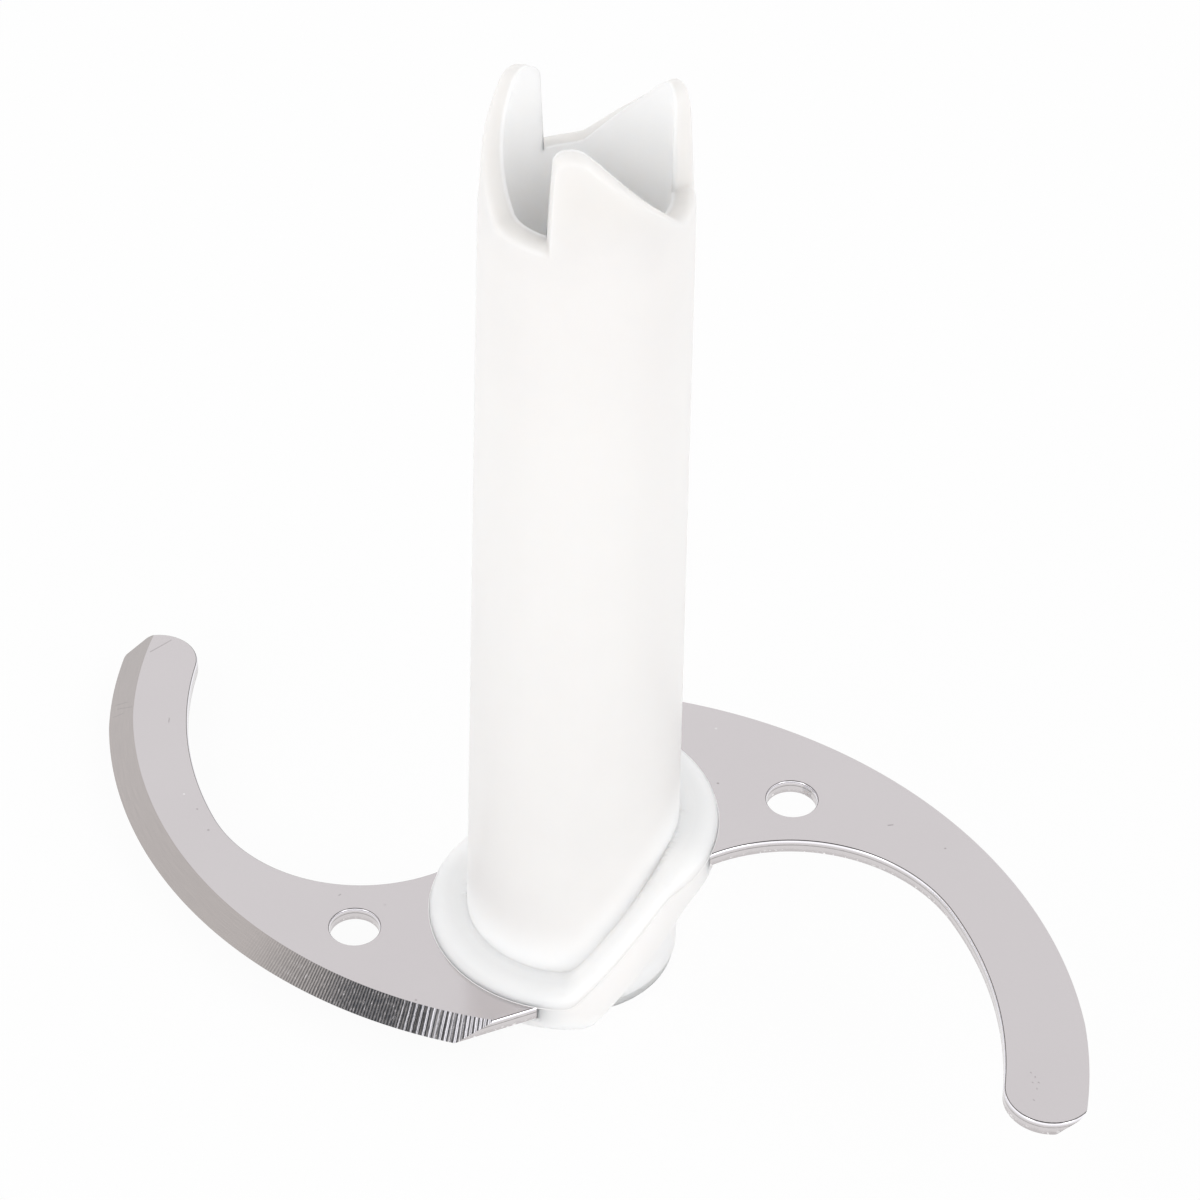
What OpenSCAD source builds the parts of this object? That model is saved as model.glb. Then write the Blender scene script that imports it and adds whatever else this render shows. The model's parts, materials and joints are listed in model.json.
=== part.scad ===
// Food processor blade: two curved steel blades moulded into a tall plastic drive sleeve.
// The axis of the sleeve is Z, and the hub stands on its foot at Z = 0.

/* [Sleeve] */
// Outer radius of the sleeve at the foot
sleeve_base_r = 12.9; // [12.4:0.1:13.4]
// Outer radius of the sleeve at the valleys of the crown
sleeve_top_r = 11.75; // [11.5:0.05:12.2]
// Height of the sleeve from the foot to the valleys of the crown
sleeve_h = 113.1; // [95:0.1:130]
// Radius of the socket that takes the drive spindle
socket_r = 10; // [9.4:0.05:10.4]
// Depth of the drive socket
socket_depth = 18; // [12:0.5:30]
// Radius of the bore at the crown
pilot_r = 9; // [8.6:0.05:9.4]
// Depth of the straight bore below the valleys of the crown
pilot_depth = 14; // [8:0.5:20]
// Width of each drive rib inside the sleeve
rib_w = 3; // [2:0.1:4]
// Height of each drive rib above the bore wall at the crown
rib_h = 1.2; // [0.8:0.1:1.8]
// Distance from the socket to the drive ribs
rib_gap = 2; // [1:0.5:6]
// Length of the drive ribs
rib_len = 30; // [20:1:50]

/* [Crown] */
// Number of driving teeth
teeth = 3; // [2:1:3]
// Direction of the first tooth
tooth_az = 38; // [30:0.5:46]
// Distance of the steep flank from the middle of the tooth
flank_off = 4.75; // [4:0.05:5.2]
// Draft of the steep flank, in degrees
flank_draft = 3; // [0:0.5:6]
// Radius of the tooth's rounded point
point_r = 2.1; // [1.5:0.1:3]
// Angle from the middle of the tooth to the foot of its long back
back_foot = 56; // [50:1:64]
// Fall of the long back for each degree round the axis
back_fall = 0.18; // [0.14:0.005:0.22]
// Inward lean of the outer face over the tooth's height
tooth_lean = 0.75; // [0.3:0.05:1]
// Rounding of the outer edge of the teeth and valleys
rim_round = 0.9; // [0.3:0.1:1]

/* [Blades] */
// Thickness of the blade sheet
sheet_t = 1.8; // [1.4:0.1:2.2]
// Height of the upper blade above the lower one
blade_rise = 15.4; // [13:0.1:18]
// Radius of the cutting edge in plan
edge_r = 61.6; // [58:0.1:64]
// Amount by which the upper blade's edge is ground further back
upper_regrind = 0.5; // [0:0.1:0.8]
// Distance of the cutting edge's centre from the axis
edge_centre_d = 38.3; // [36:0.1:40]
// Offset of the cutting edge's centre across the blade
edge_centre_x = 1.3; // [0.5:0.1:2]
// Width of the ground bevel in plan
bevel_w = 3.15; // [2.4:0.05:4]
// Radius of the hook near the hub
hook_r = 20.2; // [19:0.1:21]
// Radius of the hook along the arm
arm_r = 49.2; // [47:0.1:51]
// Place of the hook's centre across the hub
hook_x = -26.8; // [-28:0.05:-26]
// Place of the hook's centre along the blade
hook_y = 23.35; // [22:0.05:24]
// Direction from the hook's centre to the point where the two hook radii meet
hook_blend = 206.2; // [200:0.1:212]
// Width of the arm where its edge follows the hook
arm_w = 10.15; // [9:0.05:10.4]
// Radius of the round end
tip_r = 5.25; // [5.15:0.05:6]
// Direction of the round end along the arm
tip_dir = 172.4; // [168:0.1:176]
// Angle by which the upper blade's end stands further back
upper_tip_back = 0.9; // [0:0.1:1.5]
// Place where the straight butt meets the collar, across the hub
butt_x = -3.95; // [-5:0.05:-3]
// Place where the straight butt meets the collar, along the blade
butt_y = -17.15; // [-17.3:0.05:-16]
// Direction of the straight butt
butt_dir = 24.9; // [20:0.1:30]
// Radius of the hole in each blade
hole_r = 3.05; // [2.5:0.05:3.5]
// Place of the hole across the hub
hole_x = -26.35; // [-28:0.05:-25]
// Place of the hole along the blade
hole_y = -4.2; // [-6:0.05:-3]
// Radius of the cut-out round the sleeve's bore in each blade's root
root_r = 11.2; // [10.8:0.1:11.6]
// Direction of the root's end face under the collar
root_end = 156; // [148:1:160]
// Length of the butt inside the collar
root_run = 3.6; // [2:0.1:4]

/* [Collar] */
// Radius of the collar over the blade roots
collar_r = 17.5; // [16.5:0.1:18.5]
// Depth of the collar below the top face of each blade
collar_below = 3.9; // [3:0.1:5]
// Height of the collar's floor beside the sleeve, above the top face of each blade
collar_above = 1; // [0.6:0.1:1.4]
// Radius of the bead along the collar's rim
bead_r = 1.95; // [1.5:0.05:2.2]
// Radius of the collar's lower edge
under_round = 1; // [0.4:0.1:1.5]
// Height of the foot below the collar
foot_h = 1.4; // [0.8:0.1:3]
// Radius of the foot
foot_r = 12.6; // [11.8:0.1:12.8]
// Slope of the ramps between the two levels, in degrees
ramp_slope = 54; // [48:1:60]
// Distance from the axis at which a ramp begins
ramp_start = 0.3; // [0:0.1:1]
// Length over which the ramps blend into the flats
ramp_blend = 0.8; // [0.3:0.1:1.5]

/* [Hidden] */
$fn = 180;
plastic = [0.96, 0.96, 0.95];
steel = [0.8, 0.79, 0.79];
// Steps of the collar's surface: round the axis in degrees, then round the bead and the lower edge
collar_step = 4;
bead_steps = 6;
under_steps = 3;
// Steps of the crown's surface: round a tooth's point, down its back, along the valley, over the rim
point_steps = 8;
back_steps = 14;
valley_steps = 4;
rim_steps = 3;
// Run and depth of the blend at the foot of a tooth's back, in degrees and in millimetres
foot_run = 4;
foot_blend = 0.5;
// Depth of the crown's root inside the sleeve, and of the joint between them
crown_root = 3;
crown_join = 1;
// Inset of the crown's outer face, too small to see
hair = 0.03;
// Overlap of the bore's ends, the crown and the ribs with the wall that each one cuts or joins
lap = 1;
// Angle by which the arm laps over the root
arm_lap = 1;

lower_z = foot_h + collar_below;
upper_z = lower_z + blade_rise;
hook_centre = [hook_x, hook_y];
hole_at = [hole_x, hole_y];
butt_at = [butt_x, butt_y];
tooth_pitch = 360 / teeth;
crown_mid_r = (pilot_r + sleeve_top_r) / 2;
arc_per_degree = crown_mid_r * PI / 180;
back_tan = back_fall / arc_per_degree;
back_slope = atan(back_tan);
back_top = sleeve_h + back_fall * back_foot;
point_t = point_r * cos(flank_draft) - flank_off;
point_z = back_top - back_tan * point_t - point_r / cos(back_slope);
crown_top = point_z + point_r;
ramp_tan = tan(ramp_slope);
ramp_run = blade_rise / ramp_tan;
collar_t = collar_below + collar_above;
under_shift = collar_t * tan(ramp_slope / 2);
bead_mid = collar_r - bead_r;
bead_in = 180 - asin(collar_above / bead_r);
far = 2 * edge_r;

function dir(a) = [cos(a), sin(a)];
function soft(t, blend) = (t + sqrt(t * t + blend * blend)) / 2;

// Level of the collar at a place across the axis, on the front or the back of the hub
function rise(x) = ramp_tan * (soft(x - ramp_start, ramp_blend)
    - soft(x - ramp_start - ramp_run, ramp_blend));
function level(x, back) = back ? blade_rise - rise(-x) : rise(x);

// Section of the collar: radius, height and whether the point lies on the underside
collar_top = concat(
    [[root_r, collar_above, false]],
    [for (i = [0:bead_steps]) let (a = bead_in * (1 - i / bead_steps))
        [bead_mid + bead_r * cos(a), bead_r * sin(a), false]]);
collar_under = concat(
    [for (i = [0:under_steps]) let (a = -90 * i / under_steps)
        [collar_r - under_round + under_round * cos(a),
         -collar_below + under_round + under_round * sin(a), true]],
    [[root_r, -collar_below, true]]);
collar_section = concat(collar_top, collar_under);

function collar_point(p, a) = let (
        back = a < 180,
        x = p[2] ? collar_r * cos(a) - under_shift : p[0] * cos(a))
    [p[0] * cos(a), p[0] * sin(a), p[1] + level(x, back)];

// Closed ring from a list of stations, each a list of section points
module ring(stations) {
    m = len(stations);
    n = len(stations[0]);
    faces = [for (j = [0:m - 1]) for (i = [0:n - 1])
        let (k = (j + 1) % m, l = (i + 1) % n)
        each [[j * n + i, k * n + l, j * n + l], [j * n + i, k * n + i, k * n + l]]];
    polyhedron([for (s = stations) each s], faces);
}

module collar() {
    translate([0, 0, lower_z]) ring([for (a = [0:collar_step:360 - collar_step])
        [for (p = collar_section) collar_point(p, a)]]);
}

// Plan of one blade
edge_centre = [edge_centre_x, edge_centre_d];
arm_centre = hook_centre + (hook_r - arm_r) * dir(hook_blend);
module disc(centre, r) {
    translate(centre) circle(r);
}

// The arm between the hook and the edge, with its round end
module arm_plan(grind, end_dir) {
    lap_dir = hook_blend + arm_lap;
    difference() {
        intersection() {
            disc(edge_centre, edge_r - grind);
            disc(arm_centre, arm_r + arm_w - grind);
            union() {
                disc(arm_centre + (arm_r + tip_r) * dir(end_dir), tip_r);
                polygon([
                    arm_centre, arm_centre + far * dir(end_dir),
                    arm_centre + far * dir((end_dir + lap_dir) / 2),
                    arm_centre + far * dir(lap_dir)]);
            }
        }
        disc(arm_centre, arm_r);
    }
}

// The root, from the arm to the butt and round the sleeve's bore
module root_plan(grind) {
    difference() {
        intersection() {
            disc(edge_centre, edge_r - grind);
            polygon([
                hook_centre + far * dir(hook_blend), hook_centre, hook_r * dir(root_end),
                [0, 0], butt_at + root_run * dir(butt_dir), butt_at - edge_r * dir(butt_dir)]);
        }
        disc(hook_centre, hook_r);
        disc([0, 0], root_r);
        disc(hole_at, hole_r);
    }
}

module blade_plate(grind, end_dir) {
    linear_extrude(sheet_t) {
        arm_plan(grind, end_dir);
        root_plan(grind);
    }
}

// Cone of the ground bevel about a centre, from its foot radius to its top radius
module bevel(centre, foot, top) {
    translate(centre) cylinder(h = sheet_t, r1 = foot, r2 = top);
}

module lower_blade() {
    color(steel) translate([0, 0, lower_z - sheet_t]) intersection() {
        blade_plate(0, tip_dir);
        bevel(edge_centre, edge_r, edge_r - bevel_w);
        bevel(arm_centre, arm_r + arm_w, arm_r + arm_w - bevel_w);
    }
}

module upper_blade() {
    edge = edge_r - upper_regrind;
    arm = arm_r + arm_w - upper_regrind;
    color(steel) rotate(180) translate([0, 0, upper_z - sheet_t]) intersection() {
        blade_plate(upper_regrind, tip_dir + upper_tip_back);
        bevel(edge_centre, edge - bevel_w, edge);
        bevel(arm_centre, arm - bevel_w, arm);
    }
}

// Stations of one tooth: azimuth from its middle, offset across it, level, and share of the offset.
// The steep flank and the round point lie across the tooth, the long back winds round the axis.
flank_foot = point_t - point_r * cos(flank_draft)
    - (point_z + point_r * sin(flank_draft) - sleeve_h) * tan(flank_draft);
point_turn = 90 + back_slope - flank_draft;
back_from = (point_t + point_r * sin(back_slope)) / arc_per_degree;
valley_from = back_foot + foot_run;
tooth_stations = concat(
    [[0, flank_foot, sleeve_h, 1]],
    [for (i = [0:point_steps]) let (a = 180 - flank_draft - i * point_turn / point_steps)
        [0, point_t + point_r * cos(a), point_z + point_r * sin(a), 1]],
    [for (i = [1:back_steps]) let (a = back_from + i * (valley_from - back_from) / back_steps)
        [a, 0, sleeve_h + soft(back_fall * (back_foot - a), foot_blend), 0]],
    [for (i = [1:valley_steps]) let (t = i / (valley_steps + 1))
        [valley_from + t * (tooth_pitch - valley_from), flank_foot, sleeve_h, t]]);

// Section of the crown at a station, from the inside of the root round to the rim
function crown_r(z) = sleeve_top_r - hair - tooth_lean * (z - sleeve_h) / (crown_top - sleeve_h);
function crown_point(s, az, r, z) = let (a = tooth_az + az + s[0] + s[3] * asin(s[1] / r))
    [r * cos(a), r * sin(a), z];
function crown_section(s, az) = let (z = s[2], r = crown_r(z), in_r = pilot_r - lap)
    concat(
        [crown_point(s, az, in_r, z), crown_point(s, az, (pilot_r + r - rim_round) / 2, z)],
        [for (i = [0:rim_steps]) let (a = 90 * (1 - i / rim_steps))
            crown_point(s, az, r - rim_round * (1 - cos(a)), z - rim_round * (1 - sin(a)))],
        [crown_point(s, az, sleeve_top_r - hair, sleeve_h - crown_root),
         crown_point(s, az, in_r, sleeve_h - crown_root)]);

module crown() {
    ring([for (k = [0:teeth - 1]) for (s = tooth_stations) crown_section(s, k * tooth_pitch)]);
}

module bore() {
    top = crown_top + lap;
    rotate_extrude() polygon([
        [0, -lap], [socket_r, -lap], [socket_r, socket_depth],
        [pilot_r, sleeve_h - pilot_depth], [pilot_r, top], [0, top]]);
}

module ribs() {
    in_r = pilot_r - rib_h;
    for (k = [0:teeth - 1]) rotate(k * tooth_pitch)
        translate([in_r, -rib_w / 2, socket_depth + rib_gap])
            cube([socket_r + lap - in_r, rib_w, rib_len]);
}

module sleeve() {
    top = sleeve_h - crown_join;
    foot_top_r = sleeve_base_r - (sleeve_base_r - sleeve_top_r) * foot_h / top;
    rotate_extrude() polygon([
        [0, 0], [foot_r, 0], [foot_r, foot_h], [foot_top_r, foot_h], [sleeve_top_r, top], [0, top]]);
}

module hub() {
    color(plastic) {
        difference() {
            union() {
                sleeve();
                collar();
                crown();
            }
            bore();
            translate([0, 0, lower_z - sheet_t]) linear_extrude(sheet_t) root_plan(0);
            rotate(180) translate([0, 0, upper_z - sheet_t]) linear_extrude(sheet_t)
                root_plan(upper_regrind);
        }
        ribs();
    }
}

hub();
lower_blade();
upper_blade();
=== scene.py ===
"""Looks of a food processor blade: a milky plastic drive sleeve with curved steel blades."""

import json
import math

import bmesh
import bpy
from bpy.props import FloatProperty, FloatVectorProperty, IntProperty, PointerProperty
from bpy.types import Operator, Panel, PropertyGroup
from mathutils import Matrix, Vector
from mathutils.geometry import tessellate_polygon


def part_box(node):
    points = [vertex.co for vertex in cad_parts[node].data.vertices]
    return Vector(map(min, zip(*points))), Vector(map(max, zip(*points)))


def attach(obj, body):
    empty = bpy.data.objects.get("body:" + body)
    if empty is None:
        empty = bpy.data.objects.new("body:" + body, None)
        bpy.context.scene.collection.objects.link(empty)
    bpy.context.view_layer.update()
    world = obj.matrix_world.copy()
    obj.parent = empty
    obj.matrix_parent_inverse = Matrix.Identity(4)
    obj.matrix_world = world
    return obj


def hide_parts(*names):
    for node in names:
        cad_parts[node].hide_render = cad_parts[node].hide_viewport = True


bl_info = {
    "name": "Food processor blade looks",
    "version": (1, 0, 0),
    "blender": (4, 5, 0),
    "location": "3D View > Sidebar > Blade",
    "description": "Dresses a drive sleeve with curved steel blades and sets its studio",
    "category": "Object",
}

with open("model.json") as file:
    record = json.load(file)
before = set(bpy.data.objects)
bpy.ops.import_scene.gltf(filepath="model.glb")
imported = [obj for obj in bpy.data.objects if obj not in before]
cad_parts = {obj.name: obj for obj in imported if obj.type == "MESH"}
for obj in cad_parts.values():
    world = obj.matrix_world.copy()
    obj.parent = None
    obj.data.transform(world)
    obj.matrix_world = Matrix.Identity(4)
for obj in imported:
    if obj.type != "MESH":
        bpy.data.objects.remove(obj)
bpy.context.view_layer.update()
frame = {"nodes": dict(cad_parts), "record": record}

MM = 0.001
WHITE = (1.0, 1.0, 1.0)
# Plan of a blade as the CAD draws it, in millimetres and degrees: the hook, the arm and its round
# end, the cutting edge, the straight butt and the root inside the collar
HOOK_CENTRE = Vector((-26.8, 23.35))
HOOK_RADIUS = 20.2
HOOK_BLEND = 206.2
ARM_RADIUS = 49.2
ARM_WIDTH = 10.15
TIP_RADIUS = 5.25
EDGE_CENTRE = Vector((1.3, 38.3))
EDGE_RADIUS = 61.6
BEVEL_WIDTH = 3.15
BUTT_PLACE = Vector((-3.95, -17.15))
BUTT_HEADING = 24.9
ROOT_RADIUS = 11.2
ROOT_END = 156
ROOT_RUN = 3.6
# The two blades: how far the edge is ground back, where the round end lies along the arm, the turn
# about the sleeve's axis, and whether the bevel is ground on the upper side
BLADES = {
    "lower_blade": {"grind": 0.0, "tip": 172.4, "turn": 0, "above": True},
    "upper_blade": {"grind": 0.5, "tip": 173.3, "turn": 180, "above": False},
}
# Middle of the cutting edge, as a direction from its centre
EDGE_MIDDLE = 215
# The collar's radius, and its ramps: their slope, their start and the length over which they blend
COLLAR_RADIUS = 17.5 * MM
RAMP_SLOPE = math.tan(math.radians(54))
RAMP_START = 0.3 * MM
RAMP_BLEND = 0.8 * MM
# The sleeve's radius at the foot and at its joint with the crown, the joint's level, the crown's
# radius just above it and the width of the ledge between the two
SLEEVE_RADIUS = 12.9 * MM
JOINT_RADIUS = 11.75 * MM
JOINT_LEVEL = 112.1 * MM
CROWN_RADIUS = 11.72 * MM
LEDGE = 0.04 * MM
# How far in a tooth's wall may lie, its lean and a margin of 0.1 mm, and how far below the joint
# the wall starts
TOOTH_LEAN = 0.85 * MM
CROWN_ROOT = 2 * MM
# Middle and radius of the collar's bead
BEAD_MIDDLE = 15.55 * MM
BEAD_RADIUS = 1.95 * MM
# How far inside the sleeve's wall and how far above the blades' level the groove's points begin
GROOVE_INSET = 0.3 * MM
GROOVE_FLOOR = 0.4 * MM
# The bore's radius at the socket and at the crown
SOCKET_RADIUS = 10 * MM
PILOT_RADIUS = 9 * MM
# Level above which no collar lies
COLLAR_TOP = 34 * MM
# Marks on the sheet and on the bevel, in millimetres in plan: start, end and width
FACE_MARKS = {
    "lower_blade": [
        ((-55.8, 45.0), (-53.3, 47.4), 0.14),
        ((-52.2, 31.6), (-52.2, 32.4), 0.13),
        ((-28.6, 1.1), (-28.4, 1.3), 0.15),
        ((-22.9, -0.3), (-22.8, -0.3), 0.12),
    ],
    "upper_blade": [
        ((37.9, 0.0), (38.4, 0.1), 0.18),
        ((52.8, -39.9), (52.9, -40.0), 0.11),
        ((53.3, -40.5), (53.3, -40.7), 0.11),
        ((52.9, -41.4), (53.0, -41.5), 0.12),
        ((53.6, -41.4), (53.7, -41.5), 0.13),
        ((53.4, -42.3), (53.4, -42.5), 0.1),
        ((52.9, -44.1), (53.0, -44.2), 0.12),
    ],
}
BEVEL_MARKS = {
    "lower_blade": [
        ((-59.5, 36.1), (-57.9, 35.8), 0.09),
        ((-59.2, 35.2), (-57.2, 34.5), 0.09),
        ((-59.6, 33.9), (-58.3, 33.9), 0.09),
    ],
    "upper_blade": [],
}
# Bands down a stamped wall, as shares of the sheet's thickness: each fades in over its first two
# and out over its last two
# The shoulder band is a painted dark reflection where the rim rolls over, and the next band a
# painted highlight
PAINTED_DARK_REFLECTION_BAND = (0.002, 0.006, 0.034, 0.046)
PAINTED_HIGHLIGHT_BAND = (0.036, 0.05, 0.15, 0.21)
SEAM_BAND = (0.3, 0.35, 0.38, 0.44)
# Colour of the bright specks in the torn band
SPECK_COLOUR = (0.9, 0.88, 0.88)
# Brightness of the studio's tent, from the height of a direction above the horizon, as its sine
TENT = [(0.0, 1.25), (0.4, 1.22), (0.62, 1.08), (0.8, 1.06), (0.88, 0.75), (0.94, 0.2), (1.0, 0.06)]
# The softboxes: their places and diameter, and the place that they face
SOFTBOXES = {"softbox_left": (-0.65, -0.72, 0.38), "softbox_right": (0.65, -0.72, 0.38)}
SOFTBOX_SIZE = 0.42
LIT_PLACE = Vector((0, 0, 0.05))
# The photograph's camera: its place, how far it looks down and how far it is rolled
CAMERA_PLACE = (0.0025, -0.3923, 0.3968)
CAMERA_DOWN = math.radians(41.03)
CAMERA_ROLL = math.radians(1.49)


# Node trees


class Signal:
    """A number in a node tree. Arithmetic on it adds Math nodes."""

    def __init__(self, graph, socket):
        self.graph, self.socket = graph, socket

    def math(self, operation, *values, clamp=False):
        made = self.graph.node(
            "ShaderNodeMath",
            {"operation": operation, "use_clamp": clamp},
            dict(enumerate(values)),
        )
        return Signal(self.graph, made.outputs[0])

    def __add__(self, other):
        return self.math("ADD", self, other)

    def __radd__(self, other):
        return self.math("ADD", other, self)

    def __sub__(self, other):
        return self.math("SUBTRACT", self, other)

    def __rsub__(self, other):
        return self.math("SUBTRACT", other, self)

    def __mul__(self, other):
        return self.math("MULTIPLY", self, other)

    def __rmul__(self, other):
        return self.math("MULTIPLY", other, self)

    def __truediv__(self, other):
        return self.math("DIVIDE", self, other)

    def __pow__(self, power):
        return self.math("POWER", self, power)

    def clamped(self):
        return self.math("ADD", self, 0.0, clamp=True)

    def wave(self):
        """0 to 1 and back, once from each whole number to the next."""
        turn = self * math.tau
        return turn.math("SINE", turn) * 0.5 + 0.5

    def step(self, low, high):
        """0 at low, 1 at high and smooth in between; high may be the lower one."""
        share = ((self - low) / (high - low)).clamped()
        return share * share * (3.0 - 2.0 * share)

    def band(self, start, full, fading, end):
        """1 from full to fading, and 0 up to start and from end on."""
        return self.step(start, full) * self.step(end, fading)


class Graph:
    """Adds nodes to a tree: each node's settings first, then its sockets' values or links."""

    def __init__(self, tree):
        self.tree = tree
        tree.nodes.clear()

    def node(self, kind, settings=None, sockets=None):
        made = self.tree.nodes.new(kind)
        for name, value in (settings or {}).items():
            if name == "stops":
                self.stops(made.color_ramp.elements, value)
            else:
                setattr(made, name, value)
        for key, value in (sockets or {}).items():
            value = value.socket if isinstance(value, Signal) else value
            if isinstance(value, bpy.types.NodeSocket):
                self.tree.links.new(value, made.inputs[key])
            else:
                made.inputs[key].default_value = value
        return made

    @staticmethod
    def stops(elements, stops):
        while len(elements) < len(stops):
            elements.new(1.0)
        for element, (place, level) in zip(elements, stops):
            element.position, element.color = place, (level, level, level, 1.0)

    def signal(self, node, output=0):
        return Signal(self, node.outputs[output])

    def parts(self, vector):
        """The three numbers of a vector."""
        made = self.node("ShaderNodeSeparateXYZ", None, {0: vector})
        return [self.signal(made, i) for i in range(3)]

    def vector(self, x, y, z):
        return self.node("ShaderNodeCombineXYZ", None, {0: x, 1: y, 2: z}).outputs[0]

    def place(self):
        return self.node("ShaderNodeTexCoord").outputs["Object"]

    def noise(self, vector, scale, detail=2.0, roughness=0.5):
        """Noise from 0 to 1."""
        made = self.node(
            "ShaderNodeTexNoise",
            {"noise_dimensions": "3D"},
            {"Vector": vector, "Scale": scale, "Detail": detail, "Roughness": roughness},
        )
        return self.signal(made)

    def blend(self, factor, low, high):
        """A colour between low and high."""
        made = self.node(
            "ShaderNodeMix", {"data_type": "RGBA"}, {0: factor, 6: colour(low), 7: colour(high)}
        )
        return made.outputs[2]

    def bump(self, height, distance, strength=1.0, after=None):
        sockets = {"Height": height, "Distance": distance, "Strength": strength}
        if after is not None:
            sockets["Normal"] = after
        return self.node("ShaderNodeBump", None, sockets).outputs[0]


def colour(value):
    """An RGB triple as RGBA; a socket stays as it is."""
    return value if isinstance(value, bpy.types.NodeSocket) else (*value, 1.0)


def new_material(name):
    material = bpy.data.materials.new(name)
    material.use_nodes = True
    return material, Graph(material.node_tree)


def finish_surface(graph, sockets):
    """The shader of a material and its output."""
    shader = graph.node("ShaderNodeBsdfPrincipled", None, sockets)
    graph.node("ShaderNodeOutputMaterial", None, {"Surface": shader.outputs[0]})


# Materials


def milky_plastic(settings):
    """Natural polypropylene: warm on the sleeve, cooler on the collar, with painted light and
    shade.

    Painted light lifts the groove, the foot, the crown's inside and the corner by the blades
    towards white; painted shade darkens the crown's rim, the sleeve low down and the collar's
    outer wall. The zones go by the radius and the level, and by the height over the blades' level.
    """
    material, graph = new_material("milky_plastic")
    place = graph.place()
    x, y, z = graph.parts(place)
    radius = (x * x + y * y) ** 0.5
    lower, upper = sheet_levels()
    above = z - followed_level(x, y, lower, upper - lower)
    crown = z.step(112 * MM, 113 * MM)
    # Painted shade: the crown's rim, whose top faces up, is tinted darker than the rest of the
    # crown
    rim = crown * radius.band(9.1 * MM, 9.6 * MM, 11.2 * MM, 11.7 * MM)
    inside = radius.step(9.9 * MM, 9.2 * MM)
    beside = z.step(COLLAR_TOP, 28 * MM)
    collar = radius.step(12.95 * MM, 13.3 * MM) * beside
    groove = radius.band(12.9 * MM, 13.1 * MM, 14.1 * MM, 14.9 * MM) * beside
    wall = radius.step(17.1 * MM, 17.45 * MM)
    foot = z.step(5 * MM, 1 * MM) * radius.step(11 * MM, 12 * MM)
    corner = above.step(10 * MM, 1.9 * MM) * radius.step(12 * MM, 12.4 * MM)
    # Painted light: the groove, the foot, the crown's inside walls and the corner by the blades are
    # lifted towards white where shade would fall
    hollow = groove + foot + inside + corner * 0.65 * (1.0 - wall)
    clouds = graph.noise(place, 90.0, 3.0, 0.55)
    streaks = graph.noise(graph.vector(x * 700.0, y * 700.0, z * 30.0), 1.0, 3.0)
    grain = graph.noise(place, 2600.0, 2.0)
    sinks = graph.noise(place, 160.0, 1.0)
    # Painted shade: the sleeve darkens towards its foot by the collar
    tone = graph.blend(z.step(75 * MM, 20 * MM), settings.sleeve_colour, settings.painted_low_shade_colour)
    tone = graph.blend(z.step(80 * MM, 108 * MM), tone, settings.top_colour)
    tone = graph.blend(z.step(107 * MM, 117 * MM), tone, settings.crown_colour)
    tone = graph.blend(collar, tone, settings.collar_colour)
    # Painted shade: the collar's outer wall is tinted towards the darker low colour
    tone = graph.blend(wall * beside * 0.7, tone, settings.painted_low_shade_colour)
    tone = graph.blend(((clouds - 0.5) * 0.9 + 0.25).clamped(), tone, settings.cloud_colour)
    # Painted light in those hollows
    tone = graph.blend(hollow.clamped(), tone, settings.painted_light_colour)
    # Painted shade on the crown's rim
    tone = graph.blend(rim, tone, settings.painted_rim_shade_colour)
    normal = graph.bump(sinks, 0.10 * MM, 0.3)
    normal = graph.bump(streaks, 0.02 * MM, 0.2, normal)
    normal = graph.bump(grain, 0.012 * MM, 0.3, normal)
    finish_surface(
        graph,
        {
            "Base Color": tone,
            "Roughness": settings.roughness + (clouds - 0.5) * 0.12 + (streaks - 0.5) * 0.08,
            "Normal": normal,
            "IOR": 1.49,
            "Subsurface Weight": settings.milkiness,
            "Subsurface Radius": (1.0, 0.97, 0.94),
            "Subsurface Scale": settings.depth,
        },
    )
    return material


def parting_plastic(settings):
    """The thin flash where the halves of the mould met."""
    material, graph = new_material("parting_plastic")
    place = graph.place()
    worn = graph.noise(place, 420.0, 3.0)
    finish_surface(
        graph,
        {
            "Base Color": graph.blend(worn, settings.collar_colour, settings.cloud_colour),
            "Roughness": 0.42 + (worn - 0.5) * 0.2,
            "Normal": graph.bump(worn, 0.02 * MM, 0.4),
            "IOR": 1.49,
        },
    )
    return material


def specks(graph, place, size, density, shift):
    """Sparse round specks: 1 inside a speck, 0 outside."""
    x, y, z = graph.parts(place)
    cell = graph.node(
        "ShaderNodeTexVoronoi",
        {"feature": "F1", "voronoi_dimensions": "3D"},
        {"Vector": graph.vector(x + shift, y, z), "Scale": 1.0 / size, "Randomness": 1.0},
    )
    pick = graph.parts(cell.outputs["Color"])[0]
    return graph.signal(cell).step(0.15, 0.07) * pick.step(1.0 - density, 1.0 - density * 0.8)


def scratch(graph, place, start, end, width):
    """1 on a short mark between two places in plan, in millimetres, fading over its width."""
    x, y, _ = graph.parts(place)
    run = (Vector(end) - Vector(start)) * MM
    along_x = x - start[0] * MM
    along_y = y - start[1] * MM
    share = ((along_x * run.x + along_y * run.y) / run.length_squared).clamped()
    off_x = along_x - share * run.x
    off_y = along_y - share * run.y
    return ((off_x * off_x + off_y * off_y) ** 0.5).step(width * MM, width * 0.3 * MM)


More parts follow.
